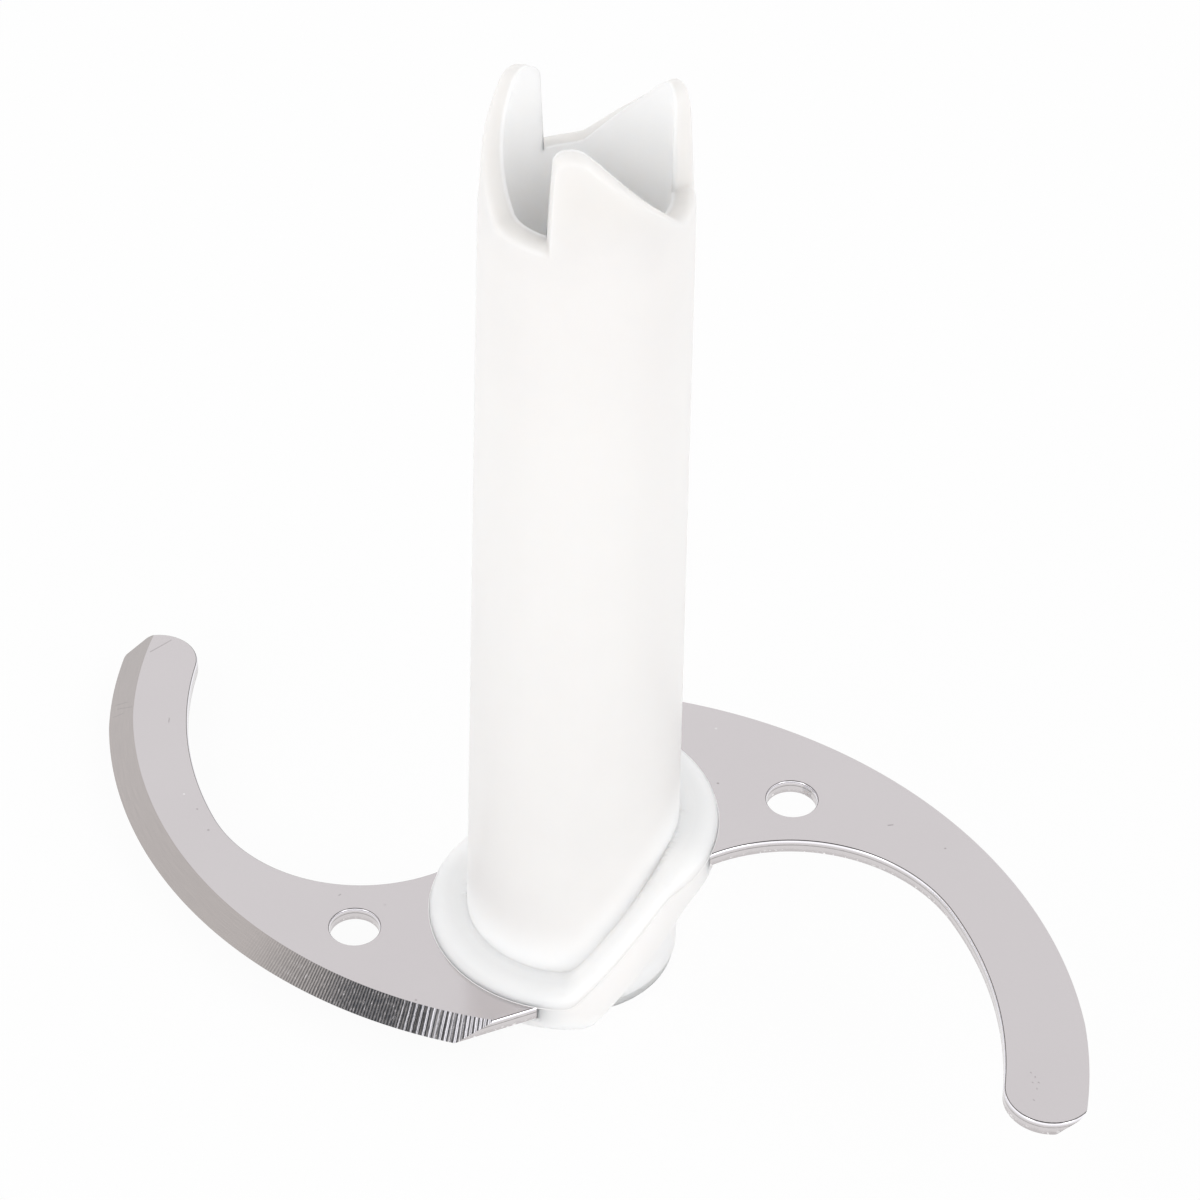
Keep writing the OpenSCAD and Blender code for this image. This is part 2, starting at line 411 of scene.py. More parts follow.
def rolled_steel(settings, name, marks):
    """The flat face of the stainless sheet: fine satin, with small specks and a few marks."""
    material, graph = new_material(name + "_face")
    place = graph.place()
    x, y, z = graph.parts(place)
    satin = graph.noise(graph.vector(x * 260.0, y * 5200.0, z * 260.0), 1.0, 3.0, 0.6)
    haze = graph.noise(place, 60.0, 2.0)
    light = specks(graph, place, 1.3 * MM, 0.022, 0.3)
    dark = specks(graph, place, 1.7 * MM, 0.016, 0.7)
    wear = 0.0
    for start, end, width in marks:
        wear = scratch(graph, place, start, end, width) * (0.3 + satin * 0.9) + wear
    base = graph.blend(haze, settings.face_colour, settings.haze_colour)
    base = graph.blend(light * 0.6, base, (0.82, 0.81, 0.81))
    base = graph.blend((dark * 0.45 + wear * 0.5).clamped(), base, (0.24, 0.22, 0.22))
    height = satin * 0.3 - dark * 0.4 - wear * 0.7
    finish_surface(
        graph,
        {
            "Base Color": base,
            "Metallic": 1.0,
            "Roughness": settings.face_roughness + (satin - 0.5) * 0.06 + (haze - 0.5) * 0.04,
            "Normal": graph.bump(height, 0.004 * MM, 0.45),
        },
    )
    return material


def edge_frame(graph, turn):
    """Azimuth about the edge's centre, in radians from the middle of the edge, and radius."""
    centre = Matrix.Rotation(turn, 2) @ EDGE_CENTRE * MM
    middle = math.radians(EDGE_MIDDLE) + turn
    made = graph.node(
        "ShaderNodeMapping",
        {"vector_type": "TEXTURE"},
        {"Vector": graph.place(), "Location": (*centre, 0.0), "Rotation": (0.0, 0.0, middle)},
    )
    x, y, _ = graph.parts(made.outputs[0])
    return y.math("ARCTAN2", y, x), (x * x + y * y) ** 0.5


def ground_steel(settings, name, turn, marks):
    """The ground bevel: plain by the tip, finely cut further on, and striped by the butt; its
    colour also holds painted dark reflections and painted glints.
    """
    material, graph = new_material(name + "_ground")
    azimuth, radius = edge_frame(graph, turn)
    run = azimuth * EDGE_RADIUS
    out = radius * (1.0 / MM) - EDGE_RADIUS
    across = run - out * settings.groove_lean
    stripe_run = across - settings.stripes_start
    drift = graph.noise(graph.vector(across * 0.35, out * 0.1, 3.0), 1.0, 2.0)
    grit = graph.noise(graph.vector(across * 4.0, out * 1.6, 9.0), 1.0, 3.0, 0.65)
    brushed = graph.noise(graph.vector(across * 0.25, out * 9.0, 13.0), 1.0, 2.0, 0.6)
    cut = run.step(settings.grooves_start, settings.grooves_full)
    striped = stripe_run.step(-2.0, 3.0)
    fine = (across * settings.groove_rate + drift * 1.3).wave()
    stripe = (stripe_run * (stripe_run * 0.04 + 1.0) + drift * 0.6).wave()
    worn = 0.0
    for start, end, width in marks:
        worn = scratch(graph, graph.place(), start, end, width) + worn
    brushed_tone = settings.ground_tone + run * 0.003 + (brushed - 0.5) * 0.2 - worn * 0.14
    # Painted dark reflection: the bevel's colour darkens towards the butt
    painted_butt_darkening = run.step(24.0, 31.0)
    grooved = fine * (grit * 0.8 + 0.25) * (1.0 - painted_butt_darkening * 0.5)
    grooved = grooved + grit * (painted_butt_darkening * 0.35 + 0.5) - painted_butt_darkening * 0.3
    tone = brushed_tone + (grooved - brushed_tone) * cut
    # Painted highlight: bright glint stripes by the butt and sparkle in the cut part are put in the
    # base colour
    bright = (stripe + stripe_run * 0.055 + (grit - 0.5) * 0.5).step(0.9, 1.06) * striped
    ridge = stripe * striped * (stripe_run * 0.1 + 0.35).clamped()
    painted_sparkle = grit.step(0.6, 0.68) * cut * (1.0 - striped)
    # The dark groove colour is partly the grooves' own and partly a painted dark reflection
    base = graph.blend(tone.clamped(), settings.groove_and_dark_reflection_colour, settings.ground_colour)
    # Painted glints in the base colour
    base = graph.blend(painted_sparkle * 0.5, base, settings.painted_glint_colour)
    base = graph.blend(bright * 0.9, base, settings.painted_glint_colour)
    height = (fine * 0.3 + grit * 0.25) * (cut * 0.95 + 0.05) + ridge
    finish_surface(
        graph,
        {
            "Base Color": base,
            "Metallic": 1.0,
            "Roughness": settings.ground_roughness + (grit - 0.5) * 0.1,
            "Normal": graph.bump(height, settings.groove_depth, 1.0),
        },
    )
    return material


def sheared_steel(settings, name, top, thickness):
    """The stamped wall: a painted dark reflection at the shoulder, a painted highlight band, a
    seam, and torn and specked below.
    """
    material, graph = new_material(name + "_wall")
    place = graph.place()
    x, y, z = graph.parts(place)
    depth = (top - z) / thickness
    drag = graph.noise(graph.vector(x * 1500.0, y * 1500.0, z * 130.0), 1.0, 3.0, 0.6)
    pits = graph.noise(place, 2100.0, 2.0, 0.6)
    torn = (depth + (drag - 0.5) * 0.5).step(0.62, 0.86)
    start, full, fading, end = SEAM_BAND
    seam = (depth + (drag - 0.5) * 0.12).step(start, full) * depth.step(end, fading)
    base = graph.blend(torn * 0.5, settings.burnished_colour, settings.torn_colour)
    base = graph.blend(seam * 0.55, base, settings.seam_colour)
    # Painted highlight band below the shoulder
    base = graph.blend(depth.band(*PAINTED_HIGHLIGHT_BAND) * 0.85, base, settings.painted_glint_colour)
    # Painted dark reflection at the shoulder
    base = graph.blend(depth.band(*PAINTED_DARK_REFLECTION_BAND) * 0.8, base, settings.painted_dark_reflection_colour)
    base = graph.blend(pits.step(0.58, 0.68) * torn, base, SPECK_COLOUR)
    finish_surface(
        graph,
        {
            "Base Color": base,
            "Metallic": 1.0,
            "Roughness": settings.wall_roughness + torn * 0.2 + (drag - 0.5) * 0.05,
            "Normal": graph.bump(pits * torn + drag * 0.12, 0.02 * MM, 0.4),
        },
    )
    return material


def pale_floor(settings):
    """A plain white floor, seen and reflected lifted towards white, with the object's shadow."""
    material, graph = new_material("pale_floor")
    cloud = graph.noise(graph.place(), 3.0)
    shade = [channel * 0.99 for channel in settings.floor_colour]
    matte = graph.node(
        "ShaderNodeBsdfDiffuse", None, {"Color": graph.blend(cloud, settings.floor_colour, shade)}
    )
    glow = graph.node("ShaderNodeEmission", None, {"Color": colour(WHITE), "Strength": 1.0})
    path = graph.node("ShaderNodeLightPath")
    seen = graph.signal(path, "Is Camera Ray").math(
        "MAXIMUM", graph.signal(path, "Is Camera Ray"), graph.signal(path, "Is Glossy Ray")
    )
    mixed = graph.node(
        "ShaderNodeMixShader",
        None,
        {0: seen * settings.floor_lift, 1: matte.outputs[0], 2: glow.outputs[0]},
    )
    graph.node("ShaderNodeOutputMaterial", None, {"Surface": mixed.outputs[0]})
    return material


# The hub's mesh


def merged(node):
    """A bmesh of a CAD node with its loose triangles joined."""
    form = bmesh.new()
    form.from_mesh(frame["nodes"][node].data)
    bmesh.ops.remove_doubles(form, verts=form.verts, dist=0.001 * MM)
    bmesh.ops.dissolve_degenerate(form, edges=form.edges, dist=0.0001 * MM)
    return form


def close_joint(form):
    """Draws the sleeve's last ring in to the crown's radius, so that no ledge shows."""
    ring = [
        v
        for v in form.verts
        if abs(v.co.z - JOINT_LEVEL) < 0.01 * MM and v.co.xy.length > CROWN_RADIUS - 0.3 * MM
    ]
    for v in ring:
        v.co.xy = v.co.xy.normalized() * CROWN_RADIUS
    bmesh.ops.remove_doubles(form, verts=ring, dist=LEDGE)
    bmesh.ops.dissolve_degenerate(form, edges=form.edges, dist=0.0001 * MM)


def soft(t):
    """Near t where that is above 0, near 0 below and smooth between; for numbers and signals."""
    return (t + (t * t + RAMP_BLEND**2) ** 0.5) * 0.5


def climb(across, run):
    """Height that a ramp of the collar has gained after some way across it."""
    return (soft(across - RAMP_START) - soft(across - RAMP_START - run)) * RAMP_SLOPE


def sheet_levels():
    """Levels of the blades' upper faces."""
    return [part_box(node)[1][2] for node in BLADES]


def sheet_level(point, lower, upper):
    """Level that the collar follows at a place: the blades' flats and the ramps between them."""
    run = (upper - lower) / RAMP_SLOPE
    return upper - climb(-point.x, run) if point.y > 0 else lower + climb(point.x, run)


def followed_level(x, y, level, rise):
    """The same level in a node tree, from the lower flat's level and the rise to the upper one."""
    back = y.math("GREATER_THAN", y, 0.0)
    gained = climb(x * (1.0 - 2.0 * back), rise / RAMP_SLOPE)
    return level + gained + back * (rise - 2.0 * gained)


def fill_groove(form, dip):
    """Raises the groove beside the sleeve to a shallow hollow, as the milky plastic shows it."""
    levels = sheet_levels()
    for v in form.verts:
        radius = v.co.xy.length
        share = (radius - JOINT_RADIUS) / (BEAD_MIDDLE - JOINT_RADIUS)
        above = v.co.z - sheet_level(v.co, *levels)
        beside = SLEEVE_RADIUS - GROOVE_INSET < radius < BEAD_MIDDLE
        if beside and GROOVE_FLOOR < above < BEAD_RADIUS:
            v.co.z += max(0.0, BEAD_RADIUS - dip * (1 - share) - above)


def link_piece(name, mesh, materials):
    for material in materials:
        mesh.materials.append(material)
    piece = bpy.data.objects.new(name, mesh)
    bpy.context.scene.collection.objects.link(piece)
    return piece


def round_normals(mesh, settings):
    """Exact normals for the points of the hub's round walls, and the faces of those walls."""
    lean = (SLEEVE_RADIUS - JOINT_RADIUS) / JOINT_LEVEL
    reach = settings.round_reach
    exact, walls = {}, set()
    for face in mesh.polygons:
        facing = face.normal.dot(Vector((*face.center.xy, 0.0)).normalized())
        if abs(facing) < settings.round_facing:
            continue
        points = [mesh.vertices[i].co for i in face.vertices]
        low, high = min(p.z for p in points), max(p.z for p in points)
        radii = [p.xy.length for p in points]
        cone = all(abs(r - SLEEVE_RADIUS + lean * p.z) < reach for r, p in zip(radii, points))
        cone = cone and high < JOINT_LEVEL + reach
        crown = min(radii) > CROWN_RADIUS - TOOTH_LEAN and low > JOINT_LEVEL - reach
        bore = PILOT_RADIUS - reach < min(radii) and max(radii) < SOCKET_RADIUS + reach
        if (facing < 0 and bore) or (facing > 0 and (cone or crown)):
            walls.add(face.index)
            for i, r, p in zip(face.vertices, radii, points):
                tooth_lean = (CROWN_RADIUS - r) / (p.z - JOINT_LEVEL + CROWN_ROOT) if crown else 0.0
                radial = p.xy.normalized() * math.copysign(1.0, facing)
                exact[i] = Vector((*radial, lean if cone else tooth_lean)).normalized()
    return exact, walls


def hub_mesh(settings):
    """The hub, with its edges smooth up to an angle and exact normals on its round walls."""
    form = merged("hub")
    close_joint(form)
    fill_groove(form, settings.groove_dip)
    mesh = bpy.data.meshes.new("hub_moulding")
    form.to_mesh(mesh)
    form.free()
    mesh.shade_smooth()
    mesh.set_sharp_from_angle(angle=settings.smooth_angle)
    exact, walls = round_normals(mesh, settings)
    normals = [corner.vector.copy() for corner in mesh.corner_normals]
    alike = math.cos(settings.smooth_angle)
    for face in mesh.polygons:
        for k in face.loop_indices:
            normal = exact.get(mesh.loops[k].vertex_index)
            if normal is not None and (face.index in walls or normal.dot(normals[k]) > alike):
                normals[k] = normal
    mesh.normals_split_custom_set(normals)
    return mesh


# The blades' meshes


def compass(azimuth):
    return Vector((math.cos(math.radians(azimuth)), math.sin(math.radians(azimuth))))


class Straight:
    """A straight stretch of a blade's outline, along a heading and with the steel on its right."""

    ground = False

    def __init__(self, start, place, heading, inset):
        self.start = start
        self.left = Vector((-compass(heading).y, compass(heading).x))
        self.place = Vector(place) - inset * self.left

    def outward(self, point):
        return self.left

    def gap(self, point):
        return (point - self.place).dot(self.left)

    def between(self, first, last, share):
        return first.lerp(last, share)


class Round:
    """A round stretch: it bends left round its centre where bend is 1, and right where it is -1."""

    def __init__(self, start, centre, radius, bend, inset=0.0, ground=False):
        self.start, self.centre, self.bend, self.ground = start, centre, bend, ground
        self.radius = radius + bend * inset

    def outward(self, point):
        return -self.bend * (point - self.centre).normalized()

    def gap(self, point):
        return self.bend * (self.radius - (point - self.centre).length)

    def at(self, azimuth):
        return self.centre + self.radius * compass(azimuth)

    def between(self, first, last, share):
        from_centre = [point - self.centre for point in (first, last)]
        begin, end = [math.degrees(math.atan2(v.y, v.x)) for v in from_centre]
        sweep = self.bend * (self.bend * (end - begin) % 360 or 360)
        return self.at(begin + share * sweep)


def crossing(one, other, point):
    """Where two stretches cross, found from a place near it by Newton's method."""
    for _ in range(20):
        gaps = Vector((one.gap(point), other.gap(point)))
        point = point - Matrix((one.outward(point), other.outward(point))).inverted() @ gaps
    return point


def outline(blade, height, inset):
    """A blade's outline at a share of the sheet's height, with its stamped walls drawn in.

    Each stretch starts at a place near which it crosses the one before, or at the azimuth where
    it touches that one.
    """
    ground = BEVEL_WIDTH * (height if blade["above"] else 1 - height) + blade["grind"]
    arm_centre = HOOK_CENTRE + (HOOK_RADIUS - ARM_RADIUS) * compass(HOOK_BLEND)
    tip_centre = arm_centre + (ARM_RADIUS + TIP_RADIUS) * compass(blade["tip"])
    root_corner = BUTT_PLACE + ROOT_RUN * compass(BUTT_HEADING)
    root_heading = math.degrees(math.atan2(root_corner.y, root_corner.x))
    origin = Vector((0.0, 0.0))
    return [
        Round(HOOK_BLEND, HOOK_CENTRE, HOOK_RADIUS, 1, inset),
        Straight((-15, 7), origin, ROOT_END + 180, inset),
        Round((-10, 5), origin, ROOT_RADIUS, 1, inset),
        Straight((0, -11), origin, root_heading, inset),
        Straight((-1, -16), BUTT_PLACE, BUTT_HEADING + 180, inset),
        Round((-14, -22), EDGE_CENTRE, EDGE_RADIUS - ground, -1, ground=True),
        Round((-48, 0), arm_centre, ARM_RADIUS + ARM_WIDTH - ground, -1, ground=True),
        Round((-58, 46), tip_centre, TIP_RADIUS, -1, inset),
        Round(blade["tip"], arm_centre, ARM_RADIUS, 1, inset),
    ]


def corners(stretches):
    """The place at which each stretch starts."""
    return [
        crossing(stretches[k - 1], stretch, Vector(stretch.start))
        if isinstance(stretch.start, tuple)
        else stretch.at(stretch.start)
        for k, stretch in enumerate(stretches)
    ]


def rolled_rings(thickness, roll, drop, burr, steps):
    """Depth, inset and tilt from upright of each ring of a wall, from the top face to the lower."""
    rings = []
    for k in range(steps + 1):
        turn = math.pi / 2 * k / steps
        tilt = math.atan2(drop * math.sin(turn), roll * math.cos(turn))
        rings.append((drop * (1 - math.cos(turn)), roll * (1 - math.sin(turn)), tilt))
    for k in range(steps + 1):
        tilt = math.pi / 2 * (1 + k / steps)
        rings.append((thickness - burr * (1 + math.cos(tilt)), burr * (1 - math.sin(tilt)), tilt))
    return rings


class BladeForm:
    """Lofts a blade from rings of points, each point with the normal of the stretch it lies on."""

    def __init__(self, name, settings):
        low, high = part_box(name)
        self.blade, self.top = BLADES[name], high[2]
        self.thickness = high[2] - low[2]
        self.step = settings.outline_step / MM
        wanted = name.replace("blade", "hole")
        hole = next(m for m in frame["record"]["mounts"] if m["name"] == wanted)
        turn = Matrix.Rotation(math.radians(self.blade["turn"]), 2)
        self.hole_centre = turn @ Vector(hole["pos_m"][:2]) / MM
        self.hole_radius = hole["dims"]["r_mm"]
        self.places, self.faces, self.normals, self.finishes = [], [], [], []
        self.loft(settings)

    def loft(self, settings):
        deep = self.thickness / MM
        drop, burr, steps = settings.roll_drop / MM, settings.burr_radius / MM, settings.roll_steps
        rings = rolled_rings(deep, settings.roll_inset / MM, drop, burr, steps)
        hole_rings = rolled_rings(deep, settings.hole_roll / MM, drop, burr, steps)
        counts = None
        laid = []
        for (depth, inset, tilt), (hole_depth, hole_inset, hole_tilt) in zip(rings, hole_rings):
            stretches = outline(self.blade, 1 - depth / deep, inset)
            starts = corners(stretches)
            ends = starts[1:] + starts[:1]
            if counts is None:
                counts = [self.count(*walk) for walk in zip(stretches, starts, ends)]
            hole = Round(0, self.hole_centre, self.hole_radius, 1, hole_inset)
            rim = [[hole], [hole.at(0)], [hole.at(0)], [settings.hole_points]]
            laid.append(
                [
                    self.lay_loop(stretches, starts, ends, counts, depth, tilt),
                    self.lay_loop(*rim, hole_depth, hole_tilt),
                ]
            )
        for upper, lower in zip(laid, laid[1:]):
            for above, below in zip(upper, lower):
                self.join(above, below)
        self.close(laid[0], 1.0)
        self.close(laid[-1], -1.0)

    def count(self, stretch, first, last):
        walk = [stretch.between(first, last, share / 8) for share in range(9)]
        length = sum((b - a).length for a, b in zip(walk, walk[1:]))
        return max(1, round(length / self.step))

    def lay_loop(self, stretches, starts, ends, counts, depth, tilt):
        """Adds one ring's points. Gives, for each stretch, its indices, normals and finish."""
        opening = len(self.places)
        rows = []
        for stretch, first, last, count in zip(stretches, starts, ends, counts):
            points = [stretch.between(first, last, k / count) for k in range(count)]
            index = len(self.places)
            self.places += [self.turned(p.x * MM, p.y * MM, self.top - depth * MM) for p in points]
            normals = [self.facing(stretch, p, tilt) for p in (*points, last)]
            slot = 1 if stretch.ground else 2
            rows.append([list(range(index, index + count + 1)), normals, slot])
        rows[-1][0][-1] = opening
        return rows

    def facing(self, stretch, point, tilt):
        side = stretch.outward(point)
        if stretch.ground:
            slope = BEVEL_WIDTH * MM * (1 if self.blade["above"] else -1)
            return self.turned(*(side * self.thickness), slope).normalized()
        return self.turned(*(side * math.sin(tilt)), math.cos(tilt))

    def turned(self, x, y, z):
        return Matrix.Rotation(math.radians(self.blade["turn"]), 3, "Z") @ Vector((x, y, z))

    def join(self, above, below):
        for (upper, upper_normals, finish), (lower, lower_normals, _) in zip(above, below):
            for k in range(len(upper) - 1):
                self.faces.append((upper[k], upper[k + 1], lower[k + 1], lower[k]))
                self.normals += upper_normals[k : k + 2] + [lower_normals[k + 1], lower_normals[k]]
                self.finishes.append(finish)

    def close(self, loops, side):
        """Fills the sheet's face between the outline and the hole."""
        indices = [[k for row in loop for k in row[0][:-1]] for loop in loops]
        flat = [k for loop in indices for k in loop]
        for triangle in tessellate_polygon([[self.places[k] for k in loop] for loop in indices]):
            a, b, c = [self.places[flat[k]] for k in triangle]
            order = triangle if (b - a).cross(c - a).z * side > 0 else triangle[::-1]
            self.faces.append(tuple(flat[k] for k in order))
            self.normals += [Vector((0.0, 0.0, side))] * 3
            self.finishes.append(0)

    def mesh(self, name):
        made = bpy.data.meshes.new(name)
        made.from_pydata(self.places, [], self.faces)
        made.polygons.foreach_set("material_index", self.finishes)
        made.shade_smooth()
        made.normals_split_custom_set(self.normals)
        return made


# Settings


class HubSettings(PropertyGroup):
    """The moulded hub."""

    sleeve_colour: FloatVectorProperty(
        name="Sleeve",
        description="Colour of the sleeve",
        subtype="COLOR",
        default=(0.868, 0.853, 0.842),
    )
    # Painted shade: the darker colour of the sleeve low down and of the collar's outer wall
    painted_low_shade_colour: FloatVectorProperty(
        name="Foot of the sleeve",
        description="Colour low on the sleeve",
        subtype="COLOR",
        default=(0.832, 0.818, 0.808),
    )
    crown_colour: FloatVectorProperty(
        name="Crown",
        description="Colour of the crown's teeth",
        subtype="COLOR",
        default=(0.785, 0.775, 0.77),
    )
    top_colour: FloatVectorProperty(
        name="Top of the sleeve",
        description="Colour high on the sleeve",
        subtype="COLOR",
        default=(0.835, 0.82, 0.812),
    )
    collar_colour: FloatVectorProperty(
        name="Collar",
        description="Colour of the collar",
        subtype="COLOR",
        default=(0.975, 0.972, 0.982),
    )
    # Painted light: a near white lifted into the groove, the foot, the crown's inside and the
    # corner, where shade would fall
    painted_light_colour: FloatVectorProperty(
        name="Hollows",
        description="Colour where light gathers",
        subtype="COLOR",
        default=(0.998, 0.994, 0.99),
    )
    # Painted shade: the darker colour of the crown's up-facing rim
    painted_rim_shade_colour: FloatVectorProperty(
        name="Rim",
        description="Colour of the crown's rim",
        subtype="COLOR",
        default=(0.8, 0.785, 0.77),
    )
    cloud_colour: FloatVectorProperty(
        name="Clouds",
        description="Colour of the faint clouds",
        subtype="COLOR",
        default=(0.885, 0.87, 0.857),
    )
    roughness: FloatProperty(
        name="Roughness", description="Roughness of the moulding", default=0.42
    )
    milkiness: FloatProperty(
        name="Milkiness", description="Share of light that goes into the plastic", default=1.0
    )
    depth: FloatProperty(
        name="Depth",
        description="How far light goes into the plastic",
        unit="LENGTH",
        default=0.0025,
    )
    groove_dip: FloatProperty(
        name="Groove",
        description="Depth of the hollow beside the sleeve",
        unit="LENGTH",
        default=0.0003,
    )
    smooth_angle: FloatProperty(
        name="Smooth",
        description="Edges under this angle look round",
        subtype="ANGLE",
        default=math.radians(42),
    )
    round_facing: FloatProperty(
        name="Round facing",
        description="How nearly a round wall's face looks along its radius",
        default=0.98,
    )
    round_reach: FloatProperty(
        name="Round reach",
        description="How near a round wall's points lie to it",
        unit="LENGTH",
        default=0.00008,
    )
    line_radius: FloatProperty(
        name="Parting line",
        description="Radius of the parting line",
        unit="LENGTH",
        default=0.00006,
    )
    line_points: IntProperty(
        name="Points", description="Points round the parting line", default=720
    )


class SteelSettings(PropertyGroup):
    """The blades."""

    face_colour: FloatVectorProperty(
        name="Face",
        description="Colour of the sheet",
        subtype="COLOR",
        default=(0.578, 0.546, 0.559),
    )
    haze_colour: FloatVectorProperty(
        name="Haze",
        description="Colour of the sheet's haze",
        subtype="COLOR",
        default=(0.602, 0.572, 0.583),
    )
    ground_colour: FloatVectorProperty(
        name="Ground",
        description="Colour of the ground bevel",
        subtype="COLOR",
        default=(0.498, 0.459, 0.443),
    )
    # Partly the grooves' own colour and partly a painted dark reflection
    groove_and_dark_reflection_colour: FloatVectorProperty(
        name="Grooves",
        description="Colour in the grooves",
        subtype="COLOR",
        default=(0.07, 0.078, 0.095),
    )
    # Painted highlight: the colour of the bevel's glint stripes and sparkle and of a wall's
    # highlight band
    painted_glint_colour: FloatVectorProperty(
        name="Glints",
        description="Colour of the bright stripes",
        subtype="COLOR",
        default=(0.9, 0.88, 0.93),
    )
    burnished_colour: FloatVectorProperty(
        name="Burnished",
        description="Colour of a rolled rim",
        subtype="COLOR",
        default=(0.65, 0.62, 0.625),
    )
    seam_colour: FloatVectorProperty(
        name="Seam",
        description="Colour where the torn band begins",
        subtype="COLOR",
        default=(0.2, 0.19, 0.19),
    )
    # Painted dark reflection: the colour of the dark line where a rim rolls over
    painted_dark_reflection_colour: FloatVectorProperty(
        name="Shoulder",
        description="Colour of the dark line where a rim rolls over",
        subtype="COLOR",
        default=(0.08, 0.075, 0.075),
    )
    torn_colour: FloatVectorProperty(
        name="Torn",
        description="Colour of the torn band",
        subtype="COLOR",
        default=(0.5, 0.47, 0.475),
    )
    face_roughness: FloatProperty(
        name="Face roughness", description="Roughness of the sheet", default=0.2
    )
    ground_roughness: FloatProperty(
        name="Ground roughness", description="Roughness of the bevel", default=0.24
    )
    wall_roughness: FloatProperty(
        name="Wall roughness", description="Roughness of a rolled rim", default=0.13
    )
    ground_tone: FloatProperty(
        name="Ground tone", description="Tone of the bevel between grooves and ground", default=0.84
    )
    groove_rate: FloatProperty(
        name="Groove rate", description="Fine grooves in a millimetre of the edge", default=2.5
    )
    groove_lean: FloatProperty(
        name="Groove lean", description="How far the grooves lean along the edge", default=0.09
    )
    grooves_start: FloatProperty(
        name="Grooves start",
        description="Millimetres along the edge, from its middle",
        default=11.0,
    )
    grooves_full: FloatProperty(
        name="Grooves full", description="Millimetres along the edge, from its middle", default=30.0
    )
    stripes_start: FloatProperty(
        name="Stripes start",
        description="Millimetres along the edge, from its middle",
        default=36.0,
    )
    groove_depth: FloatProperty(
        name="Groove depth", description="Depth of the grooves", unit="LENGTH", default=0.0001
    )
    roll_inset: FloatProperty(
        name="Roll",
        description="How far a rolled rim goes in from the wall",
        unit="LENGTH",
        default=0.00028,
    )
    hole_roll: FloatProperty(
        name="Hole roll", description="How far a hole's rim goes in", unit="LENGTH", default=0.00022
    )
    roll_drop: FloatProperty(
        name="Roll drop",
        description="How far a rolled rim goes down",
        unit="LENGTH",
        default=0.0005,
    )
    burr_radius: FloatProperty(
        name="Burr", description="Rounding of the rim below", unit="LENGTH", default=0.0001
    )
    roll_steps: IntProperty(name="Roll steps", description="Steps round each rim", default=8)
    outline_step: FloatProperty(
        name="Outline step",
        description="Step along a blade's outline",
        unit="LENGTH",
        default=0.0007,
    )
    hole_points: IntProperty(name="Hole points", description="Points round a hole", default=64)


class StageSettings(PropertyGroup):
    """The studio."""

    floor_size: FloatProperty(
        name="Floor", description="Side of the floor", unit="LENGTH", default=4.0
    )
    floor_colour: FloatVectorProperty(
        name="Floor", description="Colour of the floor", subtype="COLOR", default=(0.93, 0.93, 0.93)
    )
    floor_lift: FloatProperty(
        name="Lift", description="How far the floor is seen lifted", default=0.93
    )
    sky_strength: FloatProperty(
        name="Sky", description="Strength of the studio's light", default=1.0
    )
    lamp_power: FloatProperty(
        name="Lamps", description="Power of each softbox", unit="POWER", default=0.8
    )
    lens: FloatProperty(
        name="Lens", description="Focal length of the camera", default=135.36, unit="CAMERA"
    )


# Operators


class BLADE_OT_dress_hub(Operator):
    """Makes the moulded hub in milky plastic"""

    bl_idname = "blade.dress_hub"
    bl_label = "Hub"

    def execute(self, context):
        settings = context.scene.hub_settings
        hub = link_piece("hub_moulding", hub_mesh(settings), [milky_plastic(settings)])
        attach(hub, "root")
        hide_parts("hub")
        return {"FINISHED"}


class BLADE_OT_dress_blades(Operator):
    """Makes the steel blades with rolled rims and a ground bevel"""

    bl_idname = "blade.dress_blades"
    bl_label = "Blades"

    def execute(self, context):
        settings = context.scene.steel_settings
        for node, blade in BLADES.items():
            form = BladeForm(node, settings)
            finishes = [
                rolled_steel(settings, node, FACE_MARKS[node]),
                ground_steel(settings, node, math.radians(blade["turn"]), BEVEL_MARKS[node]),
                sheared_steel(settings, node, form.top, form.thickness),
            ]
            piece = link_piece(node + "_steel", form.mesh(node + "_steel"), finishes)
            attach(piece, "root")
            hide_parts(node)
        return {"FINISHED"}


class BLADE_OT_add_parting_line(Operator):
    """Adds the mould's parting line, which follows the blades' level round the collar"""

    bl_idname = "blade.add_parting_line"
    bl_label = "Parting line"

    def execute(self, context):
        settings = context.scene.hub_settings
        tree = parting_tree(parting_plastic(settings))
        line = bpy.data.objects.new("parting_line", bpy.data.meshes.new("parting_line"))
        context.scene.collection.objects.link(line)
        follow = line.modifiers.new("follow", "NODES")
        follow.node_group = tree
        lower, upper = sheet_levels()
        values = {
            "Points": settings.line_points,
            "Radius": COLLAR_RADIUS,
            "Line radius": settings.line_radius,
            "Level": lower,
            "Rise": upper - lower,
        }
        for socket in tree.interface.items_tree:
            if socket.in_out == "INPUT" and socket.name in values:
                follow[socket.identifier] = values[socket.name]
        plain(line)
        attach(line, "root")
        return {"FINISHED"}


def plain(piece):
    """Turns the object's modifiers into its mesh."""
    view = bpy.context.evaluated_depsgraph_get()
    made = bpy.data.meshes.new_from_object(
        piece.evaluated_get(view), preserve_all_data_layers=True, depsgraph=view
    )
    piece.modifiers.clear()
    piece.data = made
    made.name = piece.name


